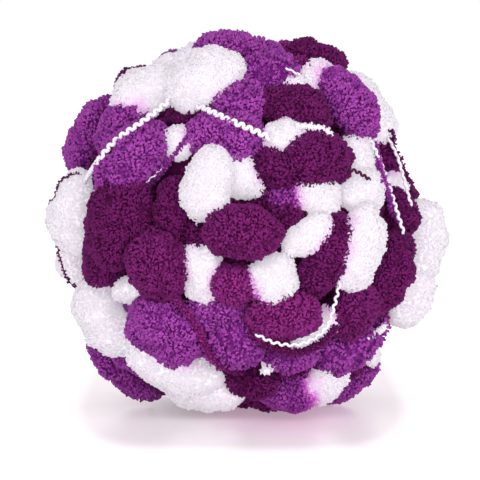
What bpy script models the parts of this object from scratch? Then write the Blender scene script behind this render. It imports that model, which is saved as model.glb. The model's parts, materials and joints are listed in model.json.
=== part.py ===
"""A wound ball of pom pom yarn, in metres, +Z up, resting on its small flat spot.

The yarn is one long chenille-like bobble yarn: plump pile bobbles, each about as long as a
thumb, joined by short bare lengths of crimped binding thread. The ball is modelled as the
solid it makes when wound: a firm heart, every bobble as a plump lump at its real size, and
the bare lengths of thread that run across the outside as raised cords. The bottom is
pressed flat where the ball stands.

The front of the ball faces -Y. Its bobbles are listed by where they appear from the eye
point, a little above the middle of the ball. The back, top and underside are filled by rule.
"""
import math

import bmesh
import bpy
from mathutils import Matrix, Vector
from mathutils.bvhtree import BVHTree

MM = 0.001

# The ball
BALL_TALL = 190 * MM
BALL_MIDDLE = Vector((0.5 * MM, 4.7 * MM, BALL_TALL / 2))
DEPTH_SHARE = 0.9
HEART_WIDE = 156 * MM
HEART_TALL = 158 * MM
HEART_ASIDE = -3 * MM
HEART_BASE_WIDE = 130 * MM
HEART_BASE_TALL = 62 * MM
FLAT_SPOT_WIDE = 54 * MM
PRESSED = 5 * MM

# The shell that the middles of the bobbles lie on: height above the table, radius, and how
# far its middle is off to the side, in mm
SHELL = (
    (8, 44, 0),
    (20, 60, 0),
    (40, 74, 0),
    (60, 82, 0),
    (95, 88, 0),
    (115, 81, -6),
    (130, 75, -6),
    (150, 66, -5),
    (162, 56, -3),
    (171, 42, -2),
    (178, 22, -2),
    (181, 0, -2),
)

# The eye point the front is laid out from
EYE_DISTANCE = 1.25
EYE_RISE_DEG = 6.0
EYE_MIDDLE_UP = 98 * MM

# Bobbles
THICK_SHARE = 0.86
LEAST_THICK = 14 * MM
PLUMPNESS = 2.6
SINK_AT_TABLE = 1.6 * MM

# Bobbles of the front, in mm and degrees: place across and up from the eye, size, lean of
# the long way anticlockwise from level, and how far it stands proud of the shell
FRONT_COLUMNS = ("across", "up", "long", "wide", "lean", "proud")
FRONT_BOBBLES = (
    (-8, 180, 40, 25, -10, -6),
    (6, 178, 27, 19, -25, -14),
    (35, 176, 32, 22, -12, -8),
    (25, 173, 26, 17, -35, 0),
    (12, 169, 32, 26, 0, 2),
    (-20, 167, 41, 32, 42, 7),
    (-51, 160, 39, 25, 18, 2),
    (-40, 170, 28, 16, 30, -8),
    (-55, 164, 22, 14, 35, -12),
    (-78, 139, 42, 25, 76, -2),
    (-62, 142, 40, 25, 55, 1),
    (-57, 126, 48, 32, 38, 5),
    (-34, 134, 19, 17, 60, 2),
    (-20, 115, 40, 28, 83, 9),
    (-3, 119, 29, 22, -20, -1),
    (-10, 138, 41, 27, -8, 3),
    (-3, 154, 31, 25, 30, 1),
    (34, 167, 21, 18, 60, 4),
    (25, 162, 18, 12, 20, 1),
    (49, 156, 45, 29, -54, 7),
    (59, 152, 46, 26, -80, -5),
    (25, 152, 40, 25, -20, 5),
    (21, 139, 26, 19, 10, 7),
    (36, 126, 38, 28, 6, 9),
    (15, 122, 26, 22, -30, 5),
    (58, 126, 32, 20, -72, 1),
    (56, 110, 25, 23, 0, 5),
    (35, 107, 27, 20, 0, 2),
    (31, 87, 29, 18, 34, 6),
    (57, 82, 45, 22, 72, 8),
    (41, 79, 46, 25, 58, 6),
    (72, 70, 45, 24, 80, 6),
    (88, 86, 44, 25, -80, -3),
    (82, 60, 37, 26, 64, -4),
    (69, 125, 30, 18, -68, -4),
    (74, 113, 20, 18, -68, -3),
    (77, 100, 27, 19, -70, -3),
    (-1, 90, 41, 28, -6, 10),
    (13, 66, 28, 26, 30, 6),
    (-6, 64, 27, 23, -10, 4),
    (-22, 68, 32, 21, 85, 2),
    (-44, 73, 39, 32, -78, 9),
    (-63, 95, 50, 38, 67, 5),
    (-71, 78, 30, 26, 70, 2),
    (-37, 101, 34, 18, 86, 4),
    (-88, 98, 41, 27, 72, 4),
    (-86, 76, 26, 19, -70, -4),
    (-73, 49, 53, 28, -66, 4),
    (-57, 61, 17, 13, 30, -2),
    (-62, 20, 46, 18, -40, -9),
    (-39, 41, 46, 34, -32, 6),
    (-36, 21, 54, 28, -22, 5),
    (-22, 10, 44, 21, -8, 6),
    (-5, 34, 31, 28, 20, 6),
    (19, 48, 40, 27, 14, 9),
    (36, 41, 32, 12, 48, 6),
    (43, 57, 22, 11, 75, 4),
    (53, 52, 25, 24, 60, 5),
    (50, 31, 34, 24, 0, 6),
    (22, 28, 36, 14, -2, 3),
    (2, 14, 27, 17, -6, 3),
    (31, 12, 46, 23, 3, 6),
    (49, 14, 38, 17, 40, -8),
    (62, 37, 22, 13, 50, -5),
    (62, 28, 14, 11, 70, -2),
    (-23, 50, 22, 16, -40, 1),
    (-23, 147, 30, 18, 10, -8),
    (13, 107, 27, 21, 0, -8),
    (22, 98, 25, 18, 30, -2),
    (-22, 87, 24, 18, -30, -3),
    (-8, 50, 32, 18, 0, 0),
    (-57, 30, 34, 22, -60, -7),
    (14, 8, 34, 12, 0, -6),
)

# Bobbles of the back, sides, top and underside
# Each row is one pass: how many places are tried, least and most length and width, the room
# that a new bobble needs, where 1 is the edge of the one beside it, and how deep it lies
FILL_COLUMNS = ("tries", "long_least", "long_most", "wide_least", "wide_most", "room", "deep")
FILL_PASSES = (
    (700, 38, 48, 25, 31, 1.3, 0),
    (900, 28, 36, 18, 23, 1.12, 2),
)
FILL_PROUD = (-2 * MM, 5 * MM)
# In front and just behind the outline, filled turns lie this much lower than the listed ones
RIM_START = 8 * MM
RIM_DEPTH = 45 * MM
RIM_DROP = 10 * MM
GOLDEN_TURN = math.pi * (3 - math.sqrt(5))
# Ways the yarn was wound: each is the axis that a run of turns goes round
WINDING_WAYS = ((0.2, 0.1, 1.0), (1.0, 0.3, 0.2), (-0.5, 0.6, 0.7), (0.6, -0.7, 0.5))

# Bare lengths of crimped thread: the side they are seen from, and the points that each is
# drawn over, across and up in mm
THREAD_ACROSS = 3.4 * MM
THREAD_SINK = 0.3 * MM
THREAD_STEP = 5 * MM
THREADS = (
    ("front", ((-38, 156), (-53, 144), (-66, 136), (-76, 123), (-82, 113))),
    ("front", ((-24, 153), (-15, 149), (-4, 144), (6, 140), (12, 137))),
    ("front", ((64, 133), (68, 121), (73, 108), (78, 91))),
    ("front", ((72, 138), (76, 125), (79, 112), (84, 98))),
    ("front", ((5, 39), (14, 34), (27, 33), (40, 40), (44, 52), (47, 65))),
    ("front", ((-33, 56), (-26, 43), (-18, 31), (-9, 20))),
    ("front", ((-92, 79), (-89, 70), (-85, 61))),
    ("back", ((-60, 150), (-35, 163), (-8, 168), (14, 162))),
    ("back", ((58, 132), (66, 108), (64, 84), (56, 62))),
    ("back", ((-72, 60), (-50, 44), (-26, 38), (-4, 42))),
    ("back", ((2, 128), (18, 112), (30, 92), (36, 70))),
)

# Solid
VOXEL = 2.4 * MM
FACE_LIMIT = 9000


def clear_scene():
    """Removes whatever the scene holds before the ball is built."""
    for found in list(bpy.data.objects):
        bpy.data.objects.remove(found, do_unlink=True)


def make_collection(name):
    """Adds a collection with this name to the scene."""
    made = bpy.data.collections.new(name)
    bpy.context.scene.collection.children.link(made)
    return made


def spread(number, salt):
    """A repeatable value from 0 to 1 for one bobble and one use."""
    value = math.sin(number * 12.9898 + salt * 78.233) * 43758.5453
    return value - math.floor(value)


def between(limits, share):
    """The value this share of the way from the first limit to the second."""
    return limits[0] + (limits[1] - limits[0]) * share


def shell_at(height):
    """Radius and sideways middle of the shell at this height, all in metres."""
    rows = [(low * MM, radius * MM, aside * MM) for low, radius, aside in SHELL]
    if height <= rows[0][0]:
        return rows[0][1:]
    for (low, low_radius, low_aside), (high, high_radius, high_aside) in zip(rows, rows[1:]):
        if height <= high:
            share = (height - low) / (high - low)
            return between((low_radius, high_radius), share), between((low_aside, high_aside), share)
    return rows[-1][1:]


def outside_by(point):
    """How far a point lies outside the shell, negative when it is inside."""
    radius, aside = shell_at(point.z)
    apart = point - BALL_MIDDLE
    flat = math.hypot(apart.x - aside, apart.y / DEPTH_SHARE) - radius
    return max(flat, SHELL[0][0] * MM - point.z, point.z - SHELL[-1][0] * MM)


def outward(point):
    """The way out of the ball at a point."""
    way = point - BALL_MIDDLE
    return Vector((way.x, way.y / DEPTH_SHARE, way.z)).normalized()


def eye_frame(side):
    """Eye point, and the way across and up that it sees, from the front or the back."""
    rise = math.radians(EYE_RISE_DEG)
    turn = 1 if side == "front" else -1
    across = Vector((turn, 0, 0))
    up = Vector((0, turn * math.sin(rise), math.cos(rise)))
    eye = BALL_MIDDLE + Vector((0, -turn * math.cos(rise), math.sin(rise))) * EYE_DISTANCE
    return eye, across, up


def sight_line(side, across_mm, up_mm):
    """Eye point and the direction of sight through a place given across and up."""
    eye, across, up = eye_frame(side)
    place = BALL_MIDDLE + across * (across_mm * MM) + up * (up_mm * MM - EYE_MIDDLE_UP)
    return eye, (place - eye).normalized()


def meet_shell(eye, way):
    """First point on the shell along a line of sight, or the nearest the line comes to it."""
    nearest = None
    best = 1e9
    reach = EYE_DISTANCE - BALL_TALL * 0.7
    while reach < EYE_DISTANCE + 20 * MM:
        point = eye + way * reach
        gap = outside_by(point)
        if gap < best:
            best = gap
            nearest = point
        if gap <= 0:
            return point
        reach += 0.5 * MM
    return nearest


def shell_point(way):
    """Where the shell lies in this direction from the middle of the ball."""
    inside = 0.0
    outside = BALL_TALL
    for _ in range(14):
        reach = (inside + outside) / 2
        if outside_by(BALL_MIDDLE + way * reach) < 0:
            inside = reach
        else:
            outside = reach
    return BALL_MIDDLE + way * inside


def long_way(normal, wanted, hold=0.85):
    """The wanted direction laid down along the ball's surface."""
    return (wanted - normal * wanted.dot(normal) * hold).normalized()


def front_bobbles():
    """Middle, long way, way out and size of each bobble listed for the front."""
    made = []
    _, across, up = eye_frame("front")
    for row in FRONT_BOBBLES:
        bobble = dict(zip(FRONT_COLUMNS, row))
        eye, way = sight_line("front", bobble["across"], bobble["up"])
        middle = meet_shell(eye, way) - way * (bobble["proud"] * MM)
        nearer = (middle - eye).length / EYE_DISTANCE
        normal = outward(middle)
        lean = math.radians(bobble["lean"])
        wanted = across * math.cos(lean) + up * math.sin(lean)
        along = long_way(normal, wanted)
        shown = max(0.72, math.sqrt(max(0.0, 1 - along.dot(way) ** 2)))
        size = (bobble["long"] * MM * nearer / shown, bobble["wide"] * MM * nearer)
        made.append((middle, along, normal, size))
    return made


def crowding(point, bobble):
    """How far a point is from a bobble's middle, where 1 is the bobble's own edge."""
    middle, along, normal, size = bobble
    apart = point - middle
    lengthwise = apart.dot(along) / (size[0] / 2)
    crosswise = (apart - along * apart.dot(along)).length / (size[1] / 2)
    return math.hypot(lengthwise, crosswise)


def fill_bobble(number, tries, fill):
    """The bobble that one try of a pass would add, lying along the winding there."""
    height = 1 - 2 * (number + 0.5) / tries
    ring = math.sqrt(1 - height * height)
    turn = GOLDEN_TURN * number
    point = shell_point(Vector((ring * math.cos(turn), ring * math.sin(turn), height)))
    normal = outward(point)
    patch = int(4 + 3.99 * math.sin(2.1 * normal.x + 0.7) * math.cos(1.9 * normal.y + normal.z))
    way = Vector(WINDING_WAYS[patch % len(WINDING_WAYS)]).normalized()
    wanted = normal.cross(way)
    if wanted.length < 0.25:
        wanted = normal.cross(Vector((0.3, 1, 0.2)))
    lean = Matrix.Rotation((spread(number, 2) - 0.5) * 0.7, 3, normal)
    along = long_way(normal, lean @ wanted, 1.0)
    long = between((fill["long_least"] * MM, fill["long_most"] * MM), spread(number, 3))
    wide = between((fill["wide_least"] * MM, fill["wide_most"] * MM), spread(number, 4))
    behind = point.y - BALL_MIDDLE.y - RIM_START
    rim = 1 - max(0.0, min(1.0, behind / RIM_DEPTH))
    proud = between(FILL_PROUD, spread(number, 5)) - RIM_DROP * rim - fill["deep"] * MM
    return (point, along, normal, (long, wide)), point + normal * proud


def fill_bobbles(front):
    """Bobbles over the rest of the ball, each where the ones before leave room."""
    made = []
    for row in FILL_PASSES:
        fill = dict(zip(FILL_COLUMNS, row))
        for number in range(fill["tries"]):
            flat, middle = fill_bobble(number, fill["tries"], fill)
            crowded = False
            for other in front + made:
                near = min(crowding(flat[0], other), crowding(other[0], flat))
                if near < fill["room"]:
                    crowded = True
                    break
            if not crowded:
                made.append((middle, *flat[1:]))
    return made


def add_lump(mesh, middle, along, normal, size, sink=SINK_AT_TABLE):
    """Adds one plump bobble, its long way bent to follow the ball."""
    long, wide = size
    thick = max(LEAST_THICK, wide * THICK_SHARE)
    middle = middle.copy()
    middle.z = max(middle.z, thick / 2 - sink)
    side = normal.cross(along).normalized()
    out = along.cross(side).normalized()
    frame = Matrix((side, out, along)).transposed().to_4x4()
    frame.translation = middle
    bend = long * long / (8 * BALL_TALL / 2)
    verts = bmesh.ops.create_uvsphere(mesh, u_segments=16, v_segments=12, radius=1.0)["verts"]
    for vert in verts:
        lengthwise = max(-1.0, min(1.0, vert.co.z))
        round_here = math.sqrt(max(0.0, 1 - lengthwise ** 2))
        plump_here = math.sqrt(max(0.0, 1 - abs(lengthwise) ** PLUMPNESS))
        fuller = plump_here / round_here if round_here > 1e-4 else 1.0
        vert.co.x *= fuller * wide / 2
        vert.co.y = vert.co.y * fuller * thick / 2 - bend * lengthwise ** 2
        vert.co.z = lengthwise * long / 2
    bmesh.ops.transform(mesh, matrix=frame, verts=verts)


def add_heart(mesh, wide, tall, aside, rise):
    """Adds one rounded mass of the inner turns."""
    middle = (BALL_MIDDLE.x + aside, BALL_MIDDLE.y, rise)
    scale = Matrix.Diagonal((wide / 2, wide / 2 * DEPTH_SHARE, tall / 2, 1))
    place = Matrix.Translation(middle) @ scale
    bmesh.ops.create_uvsphere(mesh, u_segments=32, v_segments=20, radius=1.0, matrix=place)


def add_flat_spot(mesh):
    """Adds the pressed turns in the middle of the underside."""
    size = (FLAT_SPOT_WIDE, FLAT_SPOT_WIDE * 0.8)
    thick = size[1] * THICK_SHARE
    place = Vector((BALL_MIDDLE.x, BALL_MIDDLE.y, thick / 2 - PRESSED))
    add_lump(mesh, place, Vector((1, 0, 0)), Vector((0, 0, -1)), size, PRESSED)


def smooth_route(points, rounds=3):
    """Points along a soft curve through the given ones."""
    for _ in range(rounds):
        finer = [points[0]]
        for first, second in zip(points, points[1:]):
            finer.append(first.lerp(second, 0.25))
            finer.append(first.lerp(second, 0.75))
        finer.append(points[-1])
        points = finer
    return points


def evenly(points, step):
    """The same route with points an even step apart."""
    even = [points[0]]
    left = step
    for first, second in zip(points, points[1:]):
        length = (second - first).length
        done = 0.0
        while length - done >= left:
            done += left
            even.append(first.lerp(second, done / length))
            left = step
        left -= length - done
    if (points[-1] - even[-1]).length > step * 0.5:
        even.append(points[-1])
    return even


def thread_route(surface, side, places):
    """A thread's middle line, lying on the bobbles and straight across the hollows."""
    flat = smooth_route([Vector((across, up, 0)) for across, up in places])
    flat = evenly(flat, THREAD_STEP / MM)
    eye, _, _ = eye_frame(side)
    reaches = []
    ways = []
    for place in flat:
        _, way = sight_line(side, place.x, place.y)
        hit, _, _, reach = surface.ray_cast(eye, way)
        ways.append(way)
        reaches.append(reach if hit else None)
    known = [reach for reach in reaches if reach is not None]
    reaches = [reach if reach is not None else max(known) for reach in reaches]
    taut = []
    for index in range(len(reaches)):
        lowest = reaches[index]
        for first in range(index):
            for last in range(index + 1, len(reaches)):
                share = (index - first) / (last - first)
                lowest = min(lowest, reaches[first] + (reaches[last] - reaches[first]) * share)
        taut.append(lowest)
    return [eye + way * (reach + THREAD_SINK) for way, reach in zip(ways, taut)]


def add_thread(name, points, collection):
    """A crimped thread's outer tube, made a closed mesh."""
    curve = bpy.data.curves.new(name, "CURVE")
    curve.dimensions = "3D"
    curve.bevel_depth = THREAD_ACROSS / 2
    curve.bevel_resolution = 1
    curve.use_fill_caps = True
    spline = curve.splines.new("POLY")
    spline.points.add(len(points) - 1)
    for spot, point in zip(spline.points, points):
        spot.co = (*point, 1)
    tube = bpy.data.objects.new(name, curve)
    collection.objects.link(tube)
    depsgraph = bpy.context.evaluated_depsgraph_get()
    mesh = bpy.data.meshes.new_from_object(tube.evaluated_get(depsgraph))
    bpy.data.objects.remove(tube, do_unlink=True)
    closed = bmesh.new()
    closed.from_mesh(mesh)
    bmesh.ops.remove_doubles(closed, verts=closed.verts, dist=1e-6)
    closed.to_mesh(mesh)
    closed.free()
    made = bpy.data.objects.new(name, mesh)
    collection.objects.link(made)
    return made


def apply_modifiers(item):
    """Turns an object's modifiers into its mesh."""
    bpy.context.view_layer.objects.active = item
    for modifier in list(item.modifiers):
        bpy.ops.object.modifier_apply(modifier=modifier.name)


def make_cutter(name, size, place, collection):
    """A box that is only used to cut another object."""
    bpy.ops.mesh.primitive_cube_add(size=1, location=place)
    box = bpy.context.object
    box.name = name
    box.scale = size
    for holder in list(box.users_collection):
        holder.objects.unlink(box)
    collection.objects.link(box)
    box.display_type = "WIRE"
    box.hide_render = True
    return box


def chenille_material():
    """Dyed polyester chenille pile, the purple that most of the ball shows."""
    material = bpy.data.materials.new("purple_chenille_pile")
    material.use_nodes = True
    shader = material.node_tree.nodes["Principled BSDF"]
    shader.inputs["Base Color"].default_value = (0.20, 0.032, 0.22, 1)
    shader.inputs["Roughness"].default_value = 0.95
    shader.inputs["Metallic"].default_value = 0.0
    return material


def build_ball():
    """The whole wound ball as one closed solid."""
    parts = make_collection("pompom_yarn")
    cutters = make_collection("cutters")
    front = front_bobbles()
    lumps = bmesh.new()
    add_heart(lumps, HEART_WIDE, HEART_TALL, HEART_ASIDE, BALL_MIDDLE.z)
    add_heart(lumps, HEART_BASE_WIDE, HEART_BASE_TALL, 0, HEART_BASE_TALL / 2 + 2 * MM)
    add_flat_spot(lumps)
    for middle, along, normal, size in front + fill_bobbles(front):
        add_lump(lumps, middle, along, normal, size)
    mesh = bpy.data.meshes.new("yarn_ball")
    lumps.to_mesh(mesh)
    lumps.free()
    ball = bpy.data.objects.new("yarn_ball", mesh)
    parts.objects.link(ball)

    merge = ball.modifiers.new("one_body", "REMESH")
    merge.mode = "VOXEL"
    merge.voxel_size = VOXEL
    apply_modifiers(ball)
    thin = ball.modifiers.new("fewer_faces", "DECIMATE")
    thin.ratio = FACE_LIMIT / (2 * len(ball.data.polygons))
    apply_modifiers(ball)

    shaped = bmesh.new()
    shaped.from_mesh(ball.data)
    surface = BVHTree.FromBMesh(shaped)
    shaped.free()
    threads = []
    for number, (side, places) in enumerate(THREADS, 1):
        route = thread_route(surface, side, places)
        threads.append(add_thread(f"thread_{number}", route, cutters))
    for thread in threads:
        thread.display_type = "WIRE"
        thread.hide_render = True
        join = ball.modifiers.new(f"join_{thread.name}", "BOOLEAN")
        join.operation = "UNION"
        join.solver = "EXACT"
        join.object = thread

    room = 0.4
    table = make_cutter("table_plane", (room, room, room), (0, 0, -room / 2), cutters)
    foot = ball.modifiers.new("flat_spot", "BOOLEAN")
    foot.operation = "DIFFERENCE"
    foot.solver = "EXACT"
    foot.object = table
    ball.data.materials.append(chenille_material())
    ball.data.shade_smooth()
    return ball


clear_scene()
build_ball()
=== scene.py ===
import json
import math

import bmesh
import bpy
from mathutils import Matrix, Vector, noise
from mathutils.bvhtree import BVHTree

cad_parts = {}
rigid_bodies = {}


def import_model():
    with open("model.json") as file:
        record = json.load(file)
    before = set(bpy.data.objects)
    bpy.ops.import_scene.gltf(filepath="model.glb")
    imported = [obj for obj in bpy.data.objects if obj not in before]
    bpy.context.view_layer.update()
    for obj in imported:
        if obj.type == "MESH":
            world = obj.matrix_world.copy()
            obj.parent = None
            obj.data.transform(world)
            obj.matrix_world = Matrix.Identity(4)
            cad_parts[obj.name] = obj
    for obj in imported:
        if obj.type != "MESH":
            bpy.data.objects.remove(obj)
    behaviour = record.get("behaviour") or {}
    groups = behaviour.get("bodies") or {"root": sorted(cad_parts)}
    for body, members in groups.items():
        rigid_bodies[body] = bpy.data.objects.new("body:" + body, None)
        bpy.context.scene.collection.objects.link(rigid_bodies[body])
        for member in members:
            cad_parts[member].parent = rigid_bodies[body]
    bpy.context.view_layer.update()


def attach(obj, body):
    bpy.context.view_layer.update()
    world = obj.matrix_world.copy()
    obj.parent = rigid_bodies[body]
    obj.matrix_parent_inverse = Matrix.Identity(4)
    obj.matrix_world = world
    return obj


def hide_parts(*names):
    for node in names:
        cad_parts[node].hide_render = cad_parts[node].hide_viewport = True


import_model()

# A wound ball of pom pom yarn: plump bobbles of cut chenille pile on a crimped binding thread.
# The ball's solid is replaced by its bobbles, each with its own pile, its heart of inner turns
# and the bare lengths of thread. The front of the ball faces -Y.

MM = 0.001

# The ball, as it was wound
BALL_TALL = 190 * MM
BALL_MIDDLE = Vector((0.5 * MM, 4.7 * MM, BALL_TALL / 2))
DEPTH_SHARE = 0.9
HEART_WIDE = 156 * MM
HEART_TALL = 158 * MM
HEART_ASIDE = -3 * MM
HEART_BASE_WIDE = 130 * MM
HEART_BASE_TALL = 62 * MM
FLAT_SPOT_WIDE = 54 * MM
PRESSED = 5 * MM

# The shell that the middles of the bobbles lie on: height above the table, radius, and how
# far its middle is off to the side, in mm
SHELL = (
    (8, 44, 0),
    (20, 60, 0),
    (40, 74, 0),
    (60, 82, 0),
    (95, 88, 0),
    (115, 81, -6),
    (130, 75, -6),
    (150, 66, -5),
    (162, 56, -3),
    (171, 42, -2),
    (178, 22, -2),
    (181, 0, -2),
)

# The eye point the front is laid out from, which is also where the camera stands
EYE_DISTANCE = 1.25
EYE_RISE_DEG = 6.0
EYE_MIDDLE_UP = 98 * MM

# Bobbles
THICK_SHARE = 0.86
LEAST_THICK = 14 * MM
PLUMPNESS = 2.6
SINK_AT_TABLE = 1.6 * MM

# Dyes, by how far along the dye bath's range each lies: white passes into purple through
# magenta, and purple into plum through mulberry and damson
WHITE = 0.0
PURPLE = 0.45
MULBERRY = 0.7
DAMSON = 0.9
PLUM = 1.0

# Bobbles of the front, in mm and degrees: place across and up from the eye, size, lean of
# the long way anticlockwise from level, and how far it stands proud of the shell; then the
# dye at its near end, the dye at its far end, and where along it, from -1 to 1, one turns
# into the other
FRONT_COLUMNS = ("across", "up", "long", "wide", "lean", "proud", "dye", "far_dye", "turn")
FRONT_BOBBLES = (
    (-8, 180, 40, 25, -10, -6, PURPLE, PURPLE, 0),
    (7, 179, 28, 19, -30, -14, PURPLE, PURPLE, 0),
    (36, 176, 33, 22, -12, -8, PLUM, PLUM, 0),
    (25, 171, 20, 15, -40, 0, MULBERRY, PLUM, 0),
    (12, 169, 32, 26, 0, 2, PURPLE, PURPLE, 0),
    (-20, 167, 41, 32, 42, 7, WHITE, WHITE, 0),
    (-50, 160, 43, 27, 18, 3, WHITE, WHITE, 0),
    (-40, 170, 28, 16, 30, -8, WHITE, WHITE, 0),
    (-57, 165, 19, 15, 35, -6, PLUM, PLUM, 0),
    (-29, 175, 17, 16, 30, 0, WHITE, WHITE, 0),
    (-78, 139, 42, 25, 76, -2, PURPLE, PURPLE, 0),
    (-62, 142, 40, 25, 55, 1, PURPLE, PURPLE, 0),
    (-58, 124, 50, 33, 40, 6, PURPLE, PURPLE, 0),
    (-34, 134, 19, 17, 60, 2, WHITE, WHITE, 0),
    (-18, 115, 40, 25, 83, 9, WHITE, WHITE, 0),
    (-3, 119, 29, 22, -20, -1, WHITE, WHITE, 0),
    (-10, 138, 41, 27, -8, 3, PURPLE, PURPLE, 0),
    (-3, 154, 31, 25, 30, 1, PURPLE, PURPLE, 0),
    (34, 167, 21, 18, 60, 4, WHITE, WHITE, 0),
    (25, 162, 18, 12, 20, 1, WHITE, WHITE, 0),
    (49, 156, 45, 29, -54, 7, PURPLE, PURPLE, 0),
    (59, 152, 46, 26, -80, -5, WHITE, WHITE, 0),
    (25, 152, 40, 25, -20, 5, PLUM, PLUM, 0),
    (18, 138, 21, 19, 20, 7, WHITE, WHITE, 0),
    (36, 126, 38, 28, 6, 9, PLUM, PLUM, 0),
    (15, 122, 26, 22, -30, 5, PLUM, PLUM, 0),
    (58, 126, 32, 20, -72, 1, WHITE, WHITE, 0),
    (58, 110, 22, 22, 0, 5, WHITE, WHITE, 0),
    (34, 107, 28, 22, 0, 2, PURPLE, WHITE, -0.7),
    (31, 87, 29, 18, 34, 6, WHITE, WHITE, 0),
    (57, 82, 45, 25, 72, 11, WHITE, WHITE, 0),
    (40, 77, 48, 26, 58, 6, PLUM, PLUM, 0),
    (72, 70, 45, 24, 80, 6, PLUM, PLUM, 0),
    (88, 85, 44, 25, -80, -3, WHITE, WHITE, 0),
    (82, 60, 37, 26, 64, -4, WHITE, WHITE, 0),
    (69, 125, 30, 18, -68, -4, PLUM, PLUM, 0),
    (74, 113, 20, 18, -68, -3, WHITE, WHITE, 0),
    (77, 100, 27, 19, -70, -3, PLUM, PLUM, 0),
    (-1, 90, 41, 28, -6, 10, DAMSON, DAMSON, 0),
    (13, 66, 28, 26, 30, 6, PURPLE, WHITE, -0.7),
    (-6, 64, 27, 23, -10, 4, MULBERRY, MULBERRY, 0),
    (-22, 68, 32, 21, 85, 2, WHITE, WHITE, 0),
    (-44, 73, 39, 32, -78, 9, DAMSON, DAMSON, 0),
    (-63, 95, 50, 38, 67, 5, PLUM, PLUM, 0),
    (-71, 78, 30, 26, 70, 2, PLUM, PLUM, 0),
    (-37, 101, 34, 18, 86, 4, PLUM, PLUM, 0),
    (-87, 99, 42, 27, 72, 13, WHITE, WHITE, 0),
    (-86, 76, 26, 19, -70, -4, WHITE, WHITE, 0),
    (-71, 46, 46, 26, -66, 8, WHITE, WHITE, 0),
    (-57, 61, 17, 13, 30, -2, WHITE, WHITE, 0),
    (-62, 20, 46, 18, -40, -9, PURPLE, PURPLE, 0),
    (-39, 41, 46, 34, -32, 6, PURPLE, PURPLE, 0),
    (-36, 21, 54, 28, -22, 5, WHITE, WHITE, 0),
    (-22, 10, 44, 21, -8, 6, WHITE, WHITE, 0),
    (-5, 34, 31, 28, 20, 6, PURPLE, PURPLE, 0),
    (19, 48, 40, 27, 14, 9, MULBERRY, MULBERRY, 0),
    (36, 41, 32, 12, 48, 6, WHITE, WHITE, 0),
    (52, 51, 31, 28, 60, 5, DAMSON, DAMSON, 0),
    (50, 31, 34, 24, 0, 6, PURPLE, PURPLE, 0),
    (22, 28, 36, 14, -2, 3, PURPLE, PURPLE, 0),
    (2, 14, 27, 17, -6, 3, PLUM, PLUM, 0),
    (31, 12, 46, 23, 3, 6, PURPLE, WHITE, 0.0),
    (49, 14, 38, 17, 40, -8, PURPLE, PURPLE, 0),
    (63, 37, 24, 12, 52, -5, PURPLE, PURPLE, 0),
    (62, 29, 12, 10, 70, -3, WHITE, WHITE, 0),
    (-23, 50, 22, 16, -40, 1, PURPLE, PURPLE, 0),
    (-23, 147, 30, 18, 10, -8, PLUM, PLUM, 0),
    (13, 107, 27, 21, 0, -8, PLUM, PLUM, 0),
    (22, 98, 25, 18, 30, -2, PLUM, PLUM, 0),
    (-22, 87, 24, 18, -30, -3, PLUM, PLUM, 0),
    (-8, 50, 32, 18, 0, 0, PURPLE, PURPLE, 0),
    (-57, 30, 34, 22, -60, -7, PURPLE, PURPLE, 0),
    (14, 8, 34, 12, 0, -6, PLUM, PLUM, 0),
    (19, 107, 20, 18, 60, -3, PURPLE, PURPLE, 0),
    (-8, 52, 10, 6, 0, 0, WHITE, WHITE, 0),
    (10, 24, 9, 6, -5, 6, WHITE, WHITE, 0),
)

# Front bobbles, by their place across and up, whose pile is gathered into pleats round the
# middle of the side that faces out, and how many pleats each has. The pleats sink and carry
# painted shade
PLEATED = {(-5, 34): 13, (50, 31): 15, (12, 169): 11}
# How far bobbles of one dye differ in depth of shade
BOBBLE_SHADES = 0.16
# A pink tint on white bobbles where they lie against dyed ones, as a shift along the dye
# range: how much of the range at most, and how far out from a dyed bobble, where 1 is its edge
BLEED_DYE = 0.11
BLEED_REACH = 1.2

# Bobbles of the back, sides, top and underside. Each row is one pass: how many places are
# tried, least and most length and width, the room that a new bobble needs, where 1 is the
# edge of the one beside it, and how deep it lies
FILL_COLUMNS = ("tries", "long_least", "long_most", "wide_least", "wide_most", "room", "deep")
FILL_PASSES = (
    (700, 38, 48, 25, 31, 1.3, 0),
    (900, 28, 36, 18, 23, 1.12, 2),
)
FILL_PROUD = (-2 * MM, 5 * MM)
RIM_START = 8 * MM
RIM_SEEN = 36 * MM
RIM_DEPTH = 45 * MM
RIM_DROP = 14 * MM
GOLDEN_TURN = math.pi * (3 - math.sqrt(5))
# Ways the yarn was wound: each is the axis that a run of turns goes round
WINDING_WAYS = ((0.2, 0.1, 1.0), (1.0, 0.3, 0.2), (-0.5, 0.6, 0.7), (0.6, -0.7, 0.5))
# Dyes in the order they follow each other along the yarn
DYE_RUN = (PURPLE, PLUM, WHITE, MULBERRY, PURPLE, WHITE, PLUM, PURPLE, WHITE, PLUM)

# Pile, cut from twisted polyester: tufts this tall and this wide, that root this deep in
# their backing
TUFT_TALL = 2.1 * MM
TUFT_ROOT = 2.0 * MM
TUFT_WIDE = 2.2 * MM
TUFT_SIDES = 3
TUFT_KINDS = 7
# How each pile is laid: how far apart its tufts stand, how far its clumps rise, how deep the
# folds between them are and how far its backing lies under the bobble's outer size, in mm,
# the width and height of a tuft against the sizes above, the furthest it leans each way, in
# degrees, and how much of the light on it follows the single tuft and not the whole bobble
PILE_COLUMNS = (
    "apart", "clump_rise", "fold_deep", "backing_deep", "wider", "taller", "lean", "crisp"
)
PILES = {
    "purple": (0.93, 1.6, 1.2, 2.2, 0.88, 0.85, 48, 0.36),
    "plum": (0.93, 1.4, 1.0, 2.0, 0.88, 0.8, 48, 0.27),
    "white": (1.08, 1.4, 0.4, 1.6, 1.1, 0.8, 36, 0.0),
    "inner": (4.0, 2.0, 0.0, 0.0, 2.0, 1.5, 40, 0.6),
    "strand": (0.95, 0.6, 0.0, 0.0, 0.7, 0.6, 40, 0.6),
}
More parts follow.
